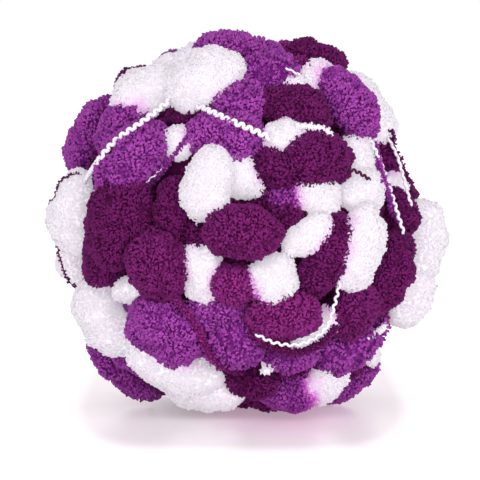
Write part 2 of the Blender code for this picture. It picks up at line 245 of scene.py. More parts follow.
# Folds where the pile parts: how far apart they run, how wide they are as a share of the
# noise they follow, and how much painted shade darkens them
FOLDS_APART = 9 * MM
FOLD_WIDE = 0.07
FOLD_PAINTED_SHADE = 1.4
# The pile parts into clumps this large
CLUMP_ACROSS = 5.5 * MM
# The single fibre ends are finer than a picture can show, so their grain is drawn this coarse
FIBRE_GRAIN = 0.65 * MM

# Bare lengths of binding thread: the side they are seen from, the dye, how thick the thread
# is and how far it waves to each side, and the points it is drawn over, across and up, in mm
THREAD_COLUMNS = ("side", "dye", "thick", "wave", "places")
THREADS = (
    ("front", WHITE, 1.9, 1.0, ((-38, 156), (-53, 144), (-66, 136), (-76, 123), (-81, 115))),
    ("front", WHITE, 1.9, 1.0, ((-24, 153), (-15, 149), (-4, 144), (6, 140), (12, 137))),
    ("front", WHITE, 1.5, 0.7, ((62, 137), (66, 128), (71, 115), (75, 102), (79, 89))),
    ("front", WHITE, 1.5, 0.7, ((71, 137), (76, 128), (79, 116), (83, 102))),
    ("front", PLUM, 1.3, 0.6, ((49, 122), (54, 121), (58, 119), (62, 116))),
    ("front", WHITE, 1.1, 0.4, ((20, 172), (24, 170), (28, 168))),
    ("front", WHITE, 1.3, 0.6, ((5, 39), (14, 34), (27, 33), (40, 40), (44, 52), (47, 65))),
    ("front", WHITE, 0.9, 0.5, ((-29, 99), (-27, 97), (-25, 96), (-24, 93))),
    ("front", WHITE, 0.8, 0.4, ((-50, 115), (-46, 118), (-42, 122), (-39, 126))),
    ("back", WHITE, 1.9, 1.0, ((-60, 150), (-35, 163), (-8, 168), (14, 162))),
    ("back", PURPLE, 2.0, 0.8, ((58, 132), (66, 108), (64, 84), (56, 62))),
    ("back", WHITE, 1.9, 1.0, ((-72, 60), (-50, 44), (-26, 38), (-4, 42))),
    ("back", PLUM, 2.0, 0.8, ((2, 128), (18, 112), (30, 92), (36, 70))),
)
CRIMP_LONG = 4.0 * MM
CRIMP_STEEP = 0.06

# Thin runs of chenille between bobbles: the side, the dye, how thick the pile is on them and
# the points they pass, across and up, in mm
STRAND_COLUMNS = ("side", "dye", "thick", "places")
# The twist draws these runs in, so that they look beaded: how long one bead is, how far it
# swells as a share of the thickness, and how much lighter it is painted than the dips beside
# it, which carry painted shade
BEAD_LONG = 3.0 * MM
BEAD_SWELL = 0.45
BEAD_PAINTED_SHADE = 0.25
STRANDS = (
    ("front", PLUM, 5.0, ((0, 43), (5, 37), (12, 32), (22, 29), (32, 31), (40, 36), (45, 43))),
    ("front", PLUM, 4.5, ((-15, 26), (-11, 22), (-6, 20), (0, 20))),
    ("front", PURPLE, 4.0, ((-26, 143), (-32, 134), (-38, 125), (-46, 116))),
    ("front", PLUM, 5.0, ((-40, 145), (-32, 147), (-24, 150), (-16, 153))),
    ("front", PLUM, 4.5, ((72, 141), (76, 134), (81, 122), (86, 108))),
    ("front", PURPLE, 4.6, ((64, 134), (67, 122), (71, 108), (76, 94))),
    ("front", WHITE, 4.2, ((61, 36), (66, 40), (71, 44))),
    ("front", WHITE, 4.4, ((25, 143), (31, 143), (37, 142), (43, 139))),
    ("front", MULBERRY, 5.2, ((-35, 57), (-31, 52), (-27, 47), (-22, 37), (-18, 28), (-12, 22))),
    ("front", PLUM, 3.2, ((-96, 82), (-93, 78), (-91, 70), (-89, 64), (-86, 61))),
    ("front", PLUM, 3.2, ((-83, 119), (-88, 119), (-94, 115), (-97, 110), (-99, 103))),
)

def spread(number, salt):
    """A repeatable value from 0 to 1 for one bobble and one use."""
    value = math.sin(number * 12.9898 + salt * 78.233) * 43758.5453
    return value - math.floor(value)


def between(limits, share):
    """The value this share of the way from the first limit to the second."""
    return limits[0] + (limits[1] - limits[0]) * share


def shell_at(height):
    """Radius and sideways middle of the shell at this height, all in metres."""
    rows = [(low * MM, radius * MM, aside * MM) for low, radius, aside in SHELL]
    if height <= rows[0][0]:
        return rows[0][1:]
    for (low, low_radius, low_aside), (high, high_radius, high_aside) in zip(rows, rows[1:]):
        if height <= high:
            share = (height - low) / (high - low)
            return between((low_radius, high_radius), share), between((low_aside, high_aside), share)
    return rows[-1][1:]


def outside_by(point):
    """How far a point lies outside the shell, negative when it is inside."""
    radius, aside = shell_at(point.z)
    apart = point - BALL_MIDDLE
    flat = math.hypot(apart.x - aside, apart.y / DEPTH_SHARE) - radius
    return max(flat, SHELL[0][0] * MM - point.z, point.z - SHELL[-1][0] * MM)


def outward(point):
    """The way out of the ball at a point."""
    way = point - BALL_MIDDLE
    return Vector((way.x, way.y / DEPTH_SHARE, way.z)).normalized()


def eye_frame(side):
    """Eye point, and the way across and up that it sees, from the front or the back."""
    rise = math.radians(EYE_RISE_DEG)
    turn = 1 if side == "front" else -1
    across = Vector((turn, 0, 0))
    up = Vector((0, turn * math.sin(rise), math.cos(rise)))
    eye = BALL_MIDDLE + Vector((0, -turn * math.cos(rise), math.sin(rise))) * EYE_DISTANCE
    return eye, across, up


def sight_line(side, across_mm, up_mm):
    """Eye point and the direction of sight through a place given across and up."""
    eye, across, up = eye_frame(side)
    place = BALL_MIDDLE + across * (across_mm * MM) + up * (up_mm * MM - EYE_MIDDLE_UP)
    return eye, (place - eye).normalized()


def meet_shell(eye, way):
    """First point on the shell along a line of sight, or the nearest the line comes to it."""
    nearest = None
    best = 1e9
    reach = EYE_DISTANCE - BALL_TALL * 0.7
    while reach < EYE_DISTANCE + 20 * MM:
        point = eye + way * reach
        gap = outside_by(point)
        if gap < best:
            best = gap
            nearest = point
        if gap <= 0:
            return point
        reach += 0.5 * MM
    return nearest


def shell_point(way):
    """Where the shell lies in this direction from the middle of the ball."""
    inside = 0.0
    outside = BALL_TALL
    for _ in range(14):
        reach = (inside + outside) / 2
        if outside_by(BALL_MIDDLE + way * reach) < 0:
            inside = reach
        else:
            outside = reach
    return BALL_MIDDLE + way * inside


def long_way(normal, wanted, hold=0.85):
    """The wanted direction laid down along the ball's surface."""
    return (wanted - normal * wanted.dot(normal) * hold).normalized()


def front_bobbles():
    """Every bobble listed for the front, with its place, its ways, its size and its dyes."""
    made = []
    _, across, up = eye_frame("front")
    for row in FRONT_BOBBLES:
        listed = dict(zip(FRONT_COLUMNS, row))
        eye, way = sight_line("front", listed["across"], listed["up"])
        middle = meet_shell(eye, way) - way * (listed["proud"] * MM)
        nearer = (middle - eye).length / EYE_DISTANCE
        normal = outward(middle)
        lean = math.radians(listed["lean"])
        wanted = across * math.cos(lean) + up * math.sin(lean)
        along = long_way(normal, wanted)
        shown = max(0.72, math.sqrt(max(0.0, 1 - along.dot(way) ** 2)))
        size = (listed["long"] * MM * nearer / shown, listed["wide"] * MM * nearer)
        dyes = (listed["dye"], listed["far_dye"], listed["turn"])
        made.append({
            "middle": middle, "along": along, "normal": normal, "size": size, "dyes": dyes, "listed": listed
        })
    return made


def seen_apart(bobble, listed):
    """How far a bobble's middle looks from a listed one to the eye, where 1 is that one's edge."""
    eye, across, up = eye_frame("front")
    apart = bobble["middle"] - eye
    nearer = EYE_DISTANCE / apart.dot(across.cross(up) * -1)
    aside = apart.dot(across) * nearer / MM - listed["across"]
    above = (apart.dot(up) * nearer + EYE_MIDDLE_UP) / MM - listed["up"]
    lean = math.radians(listed["lean"])
    lengthwise = (aside * math.cos(lean) + above * math.sin(lean)) / (listed["long"] / 2)
    crosswise = (above * math.cos(lean) - aside * math.sin(lean)) / (listed["wide"] / 2)
    return math.hypot(lengthwise, crosswise)


def crowding(point, bobble):
    """How far a point is from a bobble's middle, where 1 is the bobble's own edge."""
    apart = point - bobble["middle"]
    along = bobble["along"]
    lengthwise = apart.dot(along) / (bobble["size"][0] / 2)
    crosswise = (apart - along * apart.dot(along)).length / (bobble["size"][1] / 2)
    return math.hypot(lengthwise, crosswise)


def fill_bobble(number, tries, fill):
    """The bobble that one try of a pass would add, lying along the winding there."""
    height = 1 - 2 * (number + 0.5) / tries
    ring = math.sqrt(1 - height * height)
    turn = GOLDEN_TURN * number
    point = shell_point(Vector((ring * math.cos(turn), ring * math.sin(turn), height)))
    normal = outward(point)
    patch = int(4 + 3.99 * math.sin(2.1 * normal.x + 0.7) * math.cos(1.9 * normal.y + normal.z))
    way = Vector(WINDING_WAYS[patch % len(WINDING_WAYS)]).normalized()
    wanted = normal.cross(way)
    if wanted.length < 0.25:
        wanted = normal.cross(Vector((0.3, 1, 0.2)))
    lean = Matrix.Rotation((spread(number, 2) - 0.5) * 0.7, 3, normal)
    along = long_way(normal, lean @ wanted, 1.0)
    long = between((fill["long_least"] * MM, fill["long_most"] * MM), spread(number, 3))
    wide = between((fill["wide_least"] * MM, fill["wide_most"] * MM), spread(number, 4))
    behind = point.y - BALL_MIDDLE.y - RIM_START
    rim = 1 - max(0.0, min(1.0, behind / RIM_DEPTH))
    proud = between(FILL_PROUD, spread(number, 5)) - RIM_DROP * rim - fill["deep"] * MM
    flat = {"middle": point, "along": along, "normal": normal, "size": (long, wide)}
    return flat, point + normal * proud


def fill_bobbles(front):
    """Bobbles over the rest of the ball, each where the ones before leave room."""
    made = []
    for row in FILL_PASSES:
        fill = dict(zip(FILL_COLUMNS, row))
        for number in range(fill["tries"]):
            flat, middle = fill_bobble(number, fill["tries"], fill)
            crowded = False
            for other in front + made:
                near = min(crowding(flat["middle"], other), crowding(other["middle"], flat))
                if near < fill["room"]:
                    crowded = True
                    break
            if not crowded:
                flat["middle"] = middle
                made.append(flat)
    for bobble in front + made:
        settle(bobble)
    for order, bobble in enumerate(made):
        dye = DYE_RUN[int(spread(order, 7) * len(DYE_RUN))]
        behind = bobble["middle"].y - BALL_MIDDLE.y
        # Fill bobbles near the front take the dye of the nearest listed bobble. Those in the front half lie
        # deep between the listed ones and take only a dyed one, never white: partly to match their neighbours,
        # partly as painted shade that keeps those gaps dark
        if behind <= RIM_SEEN:
            likes = [other for other in front if behind > 0 or other["dyes"][0] > WHITE]
            dye = min(likes, key=lambda other: seen_apart(bobble, other["listed"]))["dyes"][0]
        far_dye = WHITE if behind > RIM_SEEN and dye == PURPLE and spread(order, 8) > 0.7 else dye
        bobble["dyes"] = (dye, far_dye, spread(order, 9) - 0.5)
    return made


def linear(hex_colour):
    """An sRGB hex colour as linear red, green, blue and alpha."""
    parts = [int(hex_colour[at:at + 2], 16) / 255 for at in (1, 3, 5)]
    return [part / 12.92 if part <= 0.04045 else ((part + 0.055) / 1.055) ** 2.4 for part in parts] + [1]


def add_node(tree, kind, inputs=None, **settings):
    """Adds a node with its settings, each input given as a value or as the socket that feeds it."""
    node = tree.nodes.new(kind)
    for name, value in settings.items():
        setattr(node, name, value)
    for key, value in (inputs or {}).items():
        if isinstance(value, bpy.types.NodeSocket):
            tree.links.new(value, node.inputs[key])
        else:
            node.inputs[key].default_value = value
    return node


def fill_ramp(node, stops):
    """Gives a colour ramp its stops, each a position and an sRGB hex colour."""
    elements = node.color_ramp.elements
    while len(elements) > 1:
        elements.remove(elements[-1])
    elements[0].position = stops[0][0]
    elements[0].color = linear(stops[0][1])
    for position, colour in stops[1:]:
        elements.new(position).color = linear(colour)
    return node


# The dyed colours at the tips of the tufts, where most light falls, and down at their roots, mostly darker
# there as painted shade
TIP_COLOURS = (
    (0.0, "#a6a0a7"),
    (0.10, "#bc92bc"),
    (0.22, "#c656be"),
    (0.33, "#b04eb4"),
    (0.45, "#a448a6"),
    (0.7, "#8c2c7d"),
    (1.0, "#6a1a5e"),
)
# Painted glow that pale and magenta pile gives off though it is no lamp, at its tips and more down at its
# roots, where it lifts the shade between tufts
TIP_PAINTED_GLOW = ((0.0, "#a6a2a8"), (0.12, "#886a88"), (0.3, "#000000"))
ROOT_PAINTED_GLOW = ((0.0, "#ccc5ce"), (0.12, "#987298"), (0.3, "#000000"))
# Painted shade: the roots' colours, mostly darker than the tips'
PAINTED_SHADE_ROOT_COLOURS = (
    (0.0, "#aaa4ab"),
    (0.10, "#bc9cbc"),
    (0.22, "#9c349c"),
    (0.45, "#681c6f"),
    (0.7, "#5c1050"),
    (1.0, "#46083b"),
)


def chenille_pile(name, sheen, sheen_tint, specks, rough):
    """Polyester chenille, cut pile on twisted thread. Each tuft is painted dark at its root, where
    light hardly reaches, as painted shade, and light at its cut tip, and the fibres' sheen softens
    the edges. Pale pile glows with painted light, most down in its hollows, to lift the shade there."""
    material = bpy.data.materials.new(name)
    material.use_nodes = True
    tree = material.node_tree
    shader = tree.nodes["Principled BSDF"]
    place = add_node(tree, "ShaderNodeTexCoord")
    fibres = add_node(
        tree,
        "ShaderNodeTexNoise",
        {"Vector": place.outputs["Object"], "Scale": 1 / FIBRE_GRAIN, "Detail": 2.0},
    )
    ends = add_node(
        tree,
        "ShaderNodeMapRange",
        {"Value": fibres.outputs["Fac"], "From Min": 0.36, "From Max": 0.58, "To Min": 1 - specks},
    )
    dye = add_node(tree, "ShaderNodeAttribute", attribute_name="dye")
    height = add_node(tree, "ShaderNodeAttribute", attribute_name="height")
    tips = add_node(tree, "ShaderNodeValToRGB", {"Fac": dye.outputs["Fac"]})
    roots = add_node(tree, "ShaderNodeValToRGB", {"Fac": dye.outputs["Fac"]})
    fill_ramp(tips, TIP_COLOURS)
    fill_ramp(roots, PAINTED_SHADE_ROOT_COLOURS)
    # How lit each point is painted: the noted height, with darker fibre specks. By it the base colour runs from
    # the painted shade of the roots to the tips
    lit = add_node(
        tree,
        "ShaderNodeMath",
        {0: height.outputs["Fac"], 1: ends.outputs["Result"]},
        operation="MULTIPLY",
    )
    mixed = add_node(
        tree,
        "ShaderNodeMix",
        {0: lit.outputs[0], 6: roots.outputs["Color"], 7: tips.outputs["Color"]},
        data_type="RGBA",
    )
    bump = add_node(
        tree,
        "ShaderNodeBump",
        {"Height": fibres.outputs["Fac"], "Strength": rough, "Distance": 0.5 * MM},
    )
    tree.links.new(bump.outputs["Normal"], shader.inputs["Normal"])
    tree.links.new(mixed.outputs[2], shader.inputs["Base Color"])
    shader.inputs["Roughness"].default_value = 0.9
    shader.inputs["Metallic"].default_value = 0.0
    shader.inputs["Specular IOR Level"].default_value = 0.1
    shader.inputs["Sheen Weight"].default_value = sheen
    shader.inputs["Sheen Roughness"].default_value = 0.45
    shader.inputs["Sheen Tint"].default_value = linear(sheen_tint)
    # Painted glow, stronger down in the pile
    tip_painted_glow = add_node(tree, "ShaderNodeValToRGB", {"Fac": dye.outputs["Fac"]})
    root_painted_glow = add_node(tree, "ShaderNodeValToRGB", {"Fac": dye.outputs["Fac"]})
    fill_ramp(tip_painted_glow, TIP_PAINTED_GLOW)
    fill_ramp(root_painted_glow, ROOT_PAINTED_GLOW)
    tip = add_node(tree, "ShaderNodeAttribute", attribute_name="tip")
    shallow = add_node(
        tree,
        "ShaderNodeMapRange",
        {"Value": tip.outputs["Fac"], "From Min": 0.3, "From Max": 0.9},
    )
    painted_glow = add_node(
        tree,
        "ShaderNodeMix",
        {0: shallow.outputs["Result"], 6: root_painted_glow.outputs["Color"], 7: tip_painted_glow.outputs["Color"]},
        data_type="RGBA",
    )
    tree.links.new(painted_glow.outputs[2], shader.inputs["Emission Color"])
    shader.inputs["Emission Strength"].default_value = 1.0
    return material


def binding_thread(name, colour, dark):
    """Textured polyester binding thread, crimped where it was drawn tight. Its plies show as
    a fine mottled grain, and the filaments give it a faint gloss."""
    material = bpy.data.materials.new(name)
    material.use_nodes = True
    tree = material.node_tree
    shader = tree.nodes["Principled BSDF"]
    place = add_node(tree, "ShaderNodeTexCoord")
    grain = add_node(
        tree,
        "ShaderNodeTexNoise",
        {"Vector": place.outputs["Object"], "Scale": 1 / (0.9 * MM), "Detail": 2.0},
    )
    shade = add_node(tree, "ShaderNodeValToRGB", {"Fac": grain.outputs["Fac"]})
    fill_ramp(shade, ((0.3, dark), (0.6, colour)))
    tree.links.new(shade.outputs["Color"], shader.inputs["Base Color"])
    bump = add_node(
        tree,
        "ShaderNodeBump",
        {"Height": grain.outputs["Fac"], "Strength": 0.4, "Distance": 0.2 * MM},
    )
    tree.links.new(bump.outputs["Normal"], shader.inputs["Normal"])
    shader.inputs["Roughness"].default_value = 0.6
    shader.inputs["Specular IOR Level"].default_value = 0.1
    return material


def only_select(item):
    """Makes one object the only selected one, and the active one."""
    bpy.ops.object.select_all(action="DESELECT")
    item.select_set(True)
    bpy.context.view_layer.objects.active = item


def apply_modifiers(item):
    """Turns an object's modifiers into its mesh."""
    only_select(item)
    for modifier in list(item.modifiers):
        bpy.ops.object.modifier_apply(modifier=modifier.name)


def lay_flat(item):
    """Moves an object's place into its mesh."""
    only_select(item)
    bpy.ops.object.transform_apply(location=True, rotation=True, scale=True)


def model_tuft(number):
    """One tuft of pile: cut fibre ends that spread into a ragged crumb above, drawn in to the
    root below. Each number gives another shape."""
    bpy.ops.object.select_all(action="DESELECT")
    bpy.ops.mesh.primitive_cone_add(
        vertices=TUFT_SIDES,
        radius1=TUFT_WIDE / 2,
        radius2=0,
        depth=TUFT_TALL,
        location=(0, 0, TUFT_TALL / 2),
    )
    tuft = bpy.context.object
    tuft.name = f"tuft_{number}"
    lay_flat(tuft)
    bpy.ops.object.mode_set(mode="EDIT")
    bpy.ops.mesh.select_all(action="DESELECT")
    shape = bmesh.from_edit_mesh(tuft.data)
    shape.faces.ensure_lookup_table()
    base = min(shape.faces, key=lambda face: face.calc_center_median().z)
    base.select_set(True)
    bmesh.update_edit_mesh(tuft.data)
    bpy.ops.mesh.extrude_region_move(TRANSFORM_OT_translate={"value": (0, 0, -TUFT_ROOT)})
    bpy.ops.mesh.merge(type="CENTER")
    bpy.ops.object.mode_set(mode="OBJECT")
    tip = tuft.data.attributes.new("tip", "FLOAT", "POINT")
    for vert in tuft.data.vertices:
        height = vert.co.z / TUFT_TALL
        if height > 0.5:
            tip.data[vert.index].value = 0.92
            vert.co.x += (spread(number, 1) - 0.5) * 0.7 * TUFT_WIDE
        elif height > -0.1:
            ragged = 0.7 + 0.6 * spread(number, 2 + vert.index)
            tip.data[vert.index].value = 0.62 + 0.36 * spread(number, 12 + vert.index)
            vert.co.x *= ragged * 1.25
            vert.co.y *= ragged * 0.8
            vert.co.z += TUFT_TALL * (0.5 + 0.3 * spread(number, 22 + vert.index))
        else:
            tip.data[vert.index].value = 0.0
    tuft.data.shade_smooth()
    return tuft


def cut_pile(tufts, material, kind):
    """Geometry nodes that set tufts over a backing wherever it shows, each turned its own way,
    and note how far along the dye range every point lies and how light it is painted: its height
    in the pile with random lightness, and painted shade in folds, pleats, grooves, bead dips and
    low clumps."""
    laid = dict(zip(PILE_COLUMNS, PILES[kind]))
    apart = laid["apart"] * MM
    backing_to_middle = max(0.0, laid["backing_deep"] - 1.0) * MM
    lowest = backing_to_middle - laid["clump_rise"] * MM / 2
    highest = backing_to_middle + laid["clump_rise"] * MM / 2
    least = (0.78 * laid["wider"], 0.78 * laid["wider"], 0.75 * laid["taller"])
    most = (1.2 * laid["wider"], 1.2 * laid["wider"], 1.2 * laid["taller"])
    tree = bpy.data.node_groups.new("cut_pile", "GeometryNodeTree")
    tree.interface.new_socket("Geometry", in_out="INPUT", socket_type="NodeSocketGeometry")
    tree.interface.new_socket("Geometry", in_out="OUTPUT", socket_type="NodeSocketGeometry")
    backing = add_node(
        tree,
        "GeometryNodeStoreNamedAttribute",
        {
            "Geometry": add_node(tree, "NodeGroupInput").outputs[0],
            "Name": "outwards",
            "Value": add_node(tree, "GeometryNodeInputNormal").outputs["Normal"],
        },
        data_type="FLOAT_VECTOR",
        domain="POINT",
    ).outputs[0]
    shows = add_node(tree, "GeometryNodeInputNamedAttribute", {"Name": "shows"}, data_type="FLOAT")
    stands = add_node(
        tree,
        "GeometryNodeDistributePointsOnFaces",
        {
            "Mesh": backing,
            "Distance Min": apart,
            "Density Max": 1.1 / apart**2 * 2.2,
            "Density Factor": shows.outputs[0],
            "Seed": 3,
        },
        distribute_method="POISSON",
    )
    place = add_node(tree, "GeometryNodeInputPosition")
    clumps = add_node(
        tree,
        "ShaderNodeTexNoise",
        {"Vector": place.outputs[0], "Scale": 1 / CLUMP_ACROSS, "Detail": 1.5},
    )
    folds = add_node(
        tree,
        "ShaderNodeTexNoise",
        {"Vector": place.outputs[0], "Scale": 1 / FOLDS_APART, "Detail": 0.6},
    )
    round_out = add_node(
        tree, "GeometryNodeInputNamedAttribute", {"Name": "round_out"}, data_type="FLOAT_VECTOR"
    )
    apart_out = add_node(tree, "ShaderNodeSeparateXYZ", {0: round_out.outputs[0]})
    way_round = add_node(
        tree,
        "ShaderNodeMath",
        {0: apart_out.outputs[0], 1: apart_out.outputs[1]},
        operation="ARCTAN2",
    )
    turns = add_node(
        tree,
        "ShaderNodeMath",
        {0: way_round.outputs[0], 1: apart_out.outputs[2], 2: clumps.outputs[0]},
        operation="MULTIPLY_ADD",
    )
    pleats = add_node(tree, "ShaderNodeMath", {0: turns.outputs[0]}, operation="SINE")
    gathered = add_node(
        tree, "ShaderNodeMath", {0: apart_out.outputs[2], 1: 4.0}, operation="DIVIDE", use_clamp=True
    )
    pleats = add_node(
        tree, "ShaderNodeMath", {0: pleats.outputs[0], 1: gathered.outputs[0]}, operation="MULTIPLY"
    )
    in_pleat = add_node(
        tree,
        "ShaderNodeMapRange",
        {"Value": pleats.outputs[0], "From Min": 0.1, "From Max": 0.8, "To Max": 1.8},
    )
    beside = add_node(tree, "ShaderNodeMath", {0: folds.outputs[0], 1: 0.5}, operation="SUBTRACT")
    off_fold = add_node(tree, "ShaderNodeMath", {0: beside.outputs[0]}, operation="ABSOLUTE")
    in_fold = add_node(
        tree,
        "ShaderNodeMapRange",
        {"Value": off_fold.outputs[0], "From Min": 0.0, "From Max": FOLD_WIDE, "To Min": 1.0, "To Max": 0.0},
    )
    in_fold = add_node(
        tree,
        "ShaderNodeMath",
        {0: in_fold.outputs[0], 1: in_pleat.outputs[0]},
        operation="MAXIMUM",
    )
    single = add_node(tree, "FunctionNodeRandomValue", {2: -0.3, 3: 0.3, "Seed": 11}, data_type="FLOAT")
    # Random lightness for each clump and each tuft, with painted shade: clumps that sit lower are darker, and
    # folds and pleats are darker still
    tone = add_node(
        tree,
        "ShaderNodeMath",
        {0: clumps.outputs[0], 1: 1.6, 2: single.outputs[1]},
        operation="MULTIPLY_ADD",
    )
    tone = add_node(
        tree,
        "ShaderNodeMath",
        {0: in_fold.outputs[0], 1: -FOLD_PAINTED_SHADE, 2: tone.outputs[0]},
        operation="MULTIPLY_ADD",
    )
    toned = add_node(
        tree,
        "GeometryNodeStoreNamedAttribute",
        {"Geometry": stands.outputs["Points"], "Name": "tone", "Value": tone.outputs[0]},
        data_type="FLOAT",
        domain="POINT",
    )
    toned = add_node(
        tree,
        "GeometryNodeStoreNamedAttribute",
        {"Geometry": toned.outputs[0], "Name": "outwards", "Value": stands.outputs["Normal"]},
        data_type="FLOAT_VECTOR",
        domain="POINT",
    )
    rise = add_node(
        tree,
        "ShaderNodeMapRange",
        {"Value": clumps.outputs[0], "From Min": 0.25, "From Max": 0.75, "To Min": lowest,
         "To Max": highest},
    )
    rise = add_node(
        tree,
        "ShaderNodeMath",
        {0: in_fold.outputs[0], 1: -laid["fold_deep"] * MM, 2: rise.outputs[0]},
        operation="MULTIPLY_ADD",
    )
    outwards = add_node(
        tree,
        "ShaderNodeVectorMath",
        {0: stands.outputs["Normal"], "Scale": rise.outputs[0]},
        operation="SCALE",
    )
    raised = add_node(
        tree,
        "GeometryNodeSetPosition",
        {"Geometry": toned.outputs[0], "Offset": outwards.outputs[0]},
    )
    lean = math.radians(laid["lean"])
    tilt = add_node(
        tree,
        "FunctionNodeRandomValue",
        {0: (-lean, -lean, 0), 1: (lean, lean, 2 * math.pi), "Seed": 5},
        data_type="FLOAT_VECTOR",
    )
    turned = add_node(tree, "FunctionNodeEulerToRotation", {0: tilt.outputs[0]})
    facing = add_node(
        tree,
        "FunctionNodeRotateRotation",
        {0: stands.outputs["Rotation"], 1: turned.outputs[0]},
        rotation_space="LOCAL",
    )
    sizes = add_node(
        tree,
        "FunctionNodeRandomValue",
        {0: least, 1: most, "Seed": 7},
        data_type="FLOAT_VECTOR",
    )
    kinds = add_node(
        tree,
        "GeometryNodeCollectionInfo",
        {"Collection": tufts, "Separate Children": True, "Reset Children": True},
    )
    planted = add_node(
        tree,
        "GeometryNodeInstanceOnPoints",
        {
            "Points": raised.outputs[0],
            "Instance": kinds.outputs[0],
            "Pick Instance": True,
            "Rotation": facing.outputs[0],
            "Scale": sizes.outputs[0],
        },
    )
    grown = add_node(tree, "GeometryNodeRealizeInstances", {0: planted.outputs[0]})
    whole = add_node(tree, "GeometryNodeJoinGeometry")
    tree.links.new(grown.outputs[0], whole.inputs[0])
    tree.links.new(backing, whole.inputs[0])
    spot = add_node(tree, "ShaderNodeSeparateXYZ", {0: add_node(tree, "GeometryNodeInputPosition").outputs[0]})
    above = add_node(tree, "ShaderNodeMath", {0: spot.outputs[2], 1: 0.1 * MM}, operation="MAXIMUM")
    level = add_node(
        tree,
        "ShaderNodeCombineXYZ",
        {0: spot.outputs[0], 1: spot.outputs[1], 2: above.outputs[0]},
    )
    pressed = add_node(
        tree,
        "GeometryNodeSetPosition",
        {"Geometry": whole.outputs[0], "Position": level.outputs[0]},
    )
    kept = {}
    for name in ("dye", "tone", "tip", "shade"):
        kept[name] = add_node(
            tree, "GeometryNodeInputNamedAttribute", {"Name": name}, data_type="FLOAT"
        ).outputs[0]
    # The noted height is how light each point is painted: the tuft's tip value with the random lightness and
    # painted shade above and the backing's shade
    lifted = add_node(
        tree,
        "ShaderNodeMath",
        {0: kept["tone"], 1: 0.45, 2: -0.36},
        operation="MULTIPLY_ADD",
    )
    shaded = add_node(
        tree,
        "ShaderNodeMath",
        {0: lifted.outputs[0], 1: kept["shade"]},
        operation="ADD",
    )
    height = add_node(
        tree,
        "ShaderNodeMath",
        {0: kept["tip"], 1: shaded.outputs[0]},
        operation="ADD",
        use_clamp=True,
    )
    bobble_way = add_node(
        tree, "GeometryNodeInputNamedAttribute", {"Name": "outwards"}, data_type="FLOAT_VECTOR"
    )
    tuft_way = add_node(tree, "GeometryNodeInputNormal")
    soft_way = add_node(
        tree,
        "ShaderNodeMix",
        {0: laid["crisp"], 4: bobble_way.outputs[0], 5: tuft_way.outputs["Normal"]},
        data_type="VECTOR",
    )
    softened = add_node(
        tree,
        "GeometryNodeSetMeshNormal",
        {"Mesh": pressed.outputs[0], "Custom Normal": soft_way.outputs[1]},
        mode="FREE",
        domain="POINT",
    )
    geometry = softened.outputs[0]
    geometry = add_node(
        tree,
        "GeometryNodeStoreNamedAttribute",
        {"Geometry": geometry, "Name": "height", "Value": height.outputs[0]},
        data_type="FLOAT",
        domain="POINT",
    ).outputs[0]
    chart = add_node(tree, "ShaderNodeCombineXYZ", {0: kept["dye"], 1: height.outputs[0]})
    geometry = add_node(
        tree,
        "GeometryNodeStoreNamedAttribute",
        {"Geometry": geometry, "Name": "OFBake", "Value": chart.outputs[0]},
        data_type="FLOAT2",
        domain="CORNER",
    ).outputs[0]
    covered = add_node(
        tree, "GeometryNodeSetMaterial", {"Geometry": geometry, "Material": material}
    )
    add_node(tree, "NodeGroupOutput", {0: covered.outputs[0]})
    return tree


def model_plain_bobble():
    """The bobble that all the others are copied from: a ball of pile drawn out to a plump
    bean, fuller towards its ends than an egg."""
    bpy.ops.object.select_all(action="DESELECT")
    bpy.ops.mesh.primitive_uv_sphere_add(segments=20, ring_count=14, radius=1.0, location=(0, 0, 0))
    plain = bpy.context.object
    plain.name = "plain_bobble"
    for vert in plain.data.vertices:
        lengthwise = max(-1.0, min(1.0, vert.co.z))
        round_here = math.sqrt(max(0.0, 1 - lengthwise**2))
        plump_here = math.sqrt(max(0.0, 1 - abs(lengthwise) ** PLUMPNESS))
        fuller = plump_here / round_here if round_here > 1e-4 else 1.0
        vert.co.x *= fuller
        vert.co.y *= fuller
    plain.data.shade_smooth()
    return plain


def kind_of(bobble):
    """The kind of pile a bobble has, by the dye of the greater part of it."""
    near_dye, far_dye, turn = bobble["dyes"]
    dye = far_dye if turn < -0.5 else near_dye
    return "white" if dye == WHITE else "purple" if dye == PURPLE else "plum"


def settle(bobble, sink=SINK_AT_TABLE):
    """Rests a low bobble on the table, and works out the frame that it is modelled in."""
    long, wide = bobble["size"]
    thick = max(LEAST_THICK, wide * THICK_SHARE)
    middle = bobble["middle"].copy()
    middle.z = max(middle.z, thick / 2 - sink)
    side = bobble["normal"].cross(bobble["along"]).normalized()
    out = bobble["along"].cross(side).normalized()
    frame_of = Matrix((side, out, bobble["along"])).transposed().to_4x4()
    frame_of.translation = middle
    bobble["frame"] = frame_of
    bobble["thick"] = thick
    half = Matrix.Diagonal((wide / 2, thick / 2, long / 2, 1))
    bobble["inside"] = (frame_of @ half).inverted()


